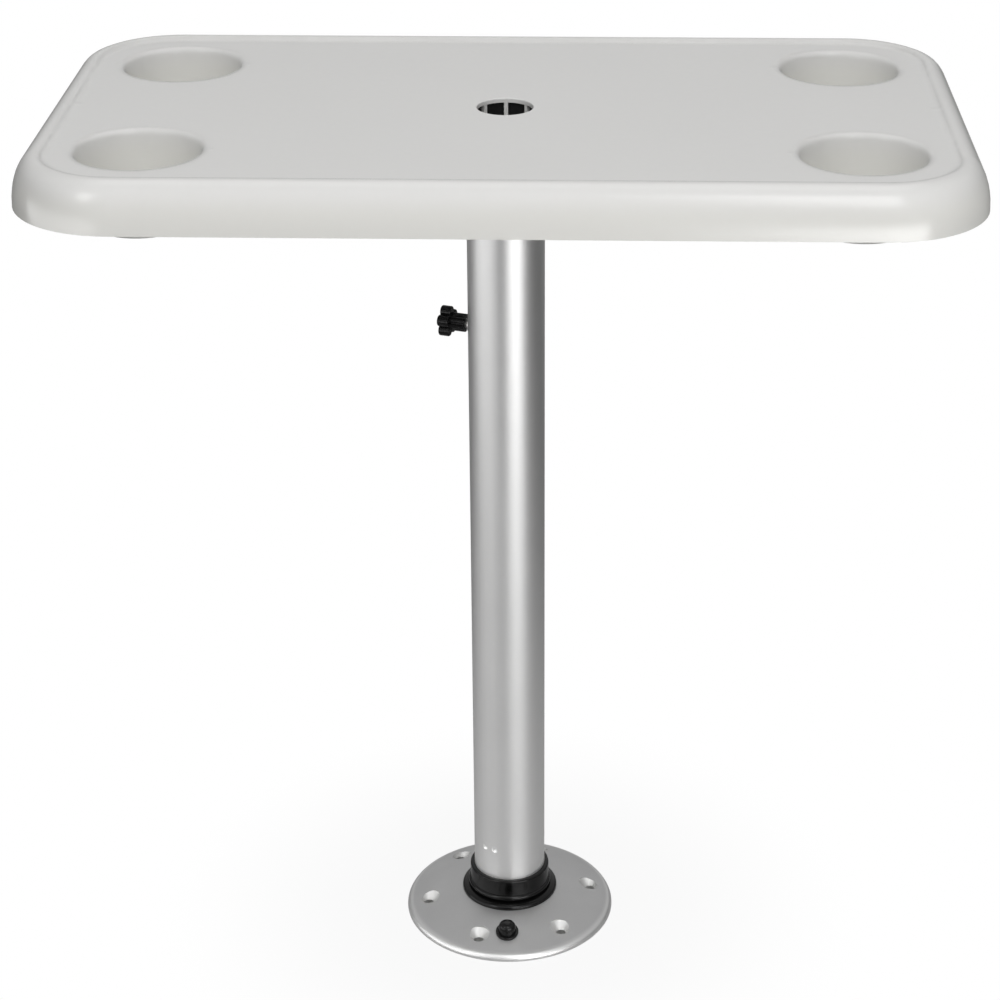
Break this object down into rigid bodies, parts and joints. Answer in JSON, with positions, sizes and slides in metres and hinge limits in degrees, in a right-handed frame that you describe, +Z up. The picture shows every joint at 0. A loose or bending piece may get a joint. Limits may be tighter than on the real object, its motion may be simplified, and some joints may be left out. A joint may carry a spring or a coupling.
{
  "type": "pedestal table",
  "caption": "Small rectangular moulded table with corner cup wells and an umbrella hole, on one round post that locks into a domed floor base by a push button.",
  "frame": {"origin": "centre of the base on the floor", "axes": "+Z up along the post, +X along the top's long side, -Y towards the push button"},
  "size_m": [0.698, 0.399, 0.722],
  "materials": {
    "top": "glossy moulded off-white",
    "bracket": "matt black moulding",
    "black_gloss": "glossy black",
    "black_matte": "satin black",
    "nylon": "natural nylon",
    "post": "satin anodised",
    "casting": "satin cast",
    "steel": "bright zinc plate"
  },
  "bodies": {
    "base": {"base_flange": "casting", "base_spigot": "bracket", "bearing_ring": "black_gloss", "bottom_plate": "steel", "plate_screws": "steel", "spigot_screws": "steel", "button_grommet": "black_matte", "latch_spring": "steel"},
    "table": {"post_tube": "post", "foot_bush": "black_gloss", "clamp_nut": "steel", "top_bracket": "bracket", "set_screws": "steel", "bracket_screws": "steel", "table_top": "top"},
    "button": {"lock_button": "black_matte"},
    "latch": {"lock_latch": "steel"},
    "pad": {"clamp_pad": "nylon"},
    "clamp_screw": {"clamp_stud": "steel", "clamp_knob": "black_matte"}
  },
  "joints": [
    {"name": "table_swivel", "type": "hinge", "parent": "base", "child": "table", "pos_m": [0, 0, 0], "axis": [0, 0, 1], "continuous": true},
    {"name": "button_press", "type": "slide", "parent": "base", "child": "button", "axis": [0, 0, -1], "range_m": [0, 0.003], "stiffness_N_per_m": 600, "springref_m": -0.004},
    {"name": "latch_slide", "type": "slide", "parent": "base", "child": "latch", "axis": [0, -1, 0], "range_m": [0, 0.003], "deforming": ["latch_spring"]},
    {"name": "pad_slide", "type": "slide", "parent": "table", "child": "pad", "axis": [-0.9511, 0.309, 0], "range_m": [-0.00243, 0.00486]},
    {"name": "knob_turn", "type": "hinge", "parent": "pad", "child": "clamp_screw", "pos_m": [0, 0, 0.5393], "axis": [-0.9511, 0.309, 0], "range_deg": [-700, 1400]}
  ],
  "couplings": [
    {"joint": "latch_slide", "follows": "button_press", "ratio": 1},
    {"joint": "knob_turn", "follows": "pad_slide", "rad_per_m": 5026.5}
  ]
}
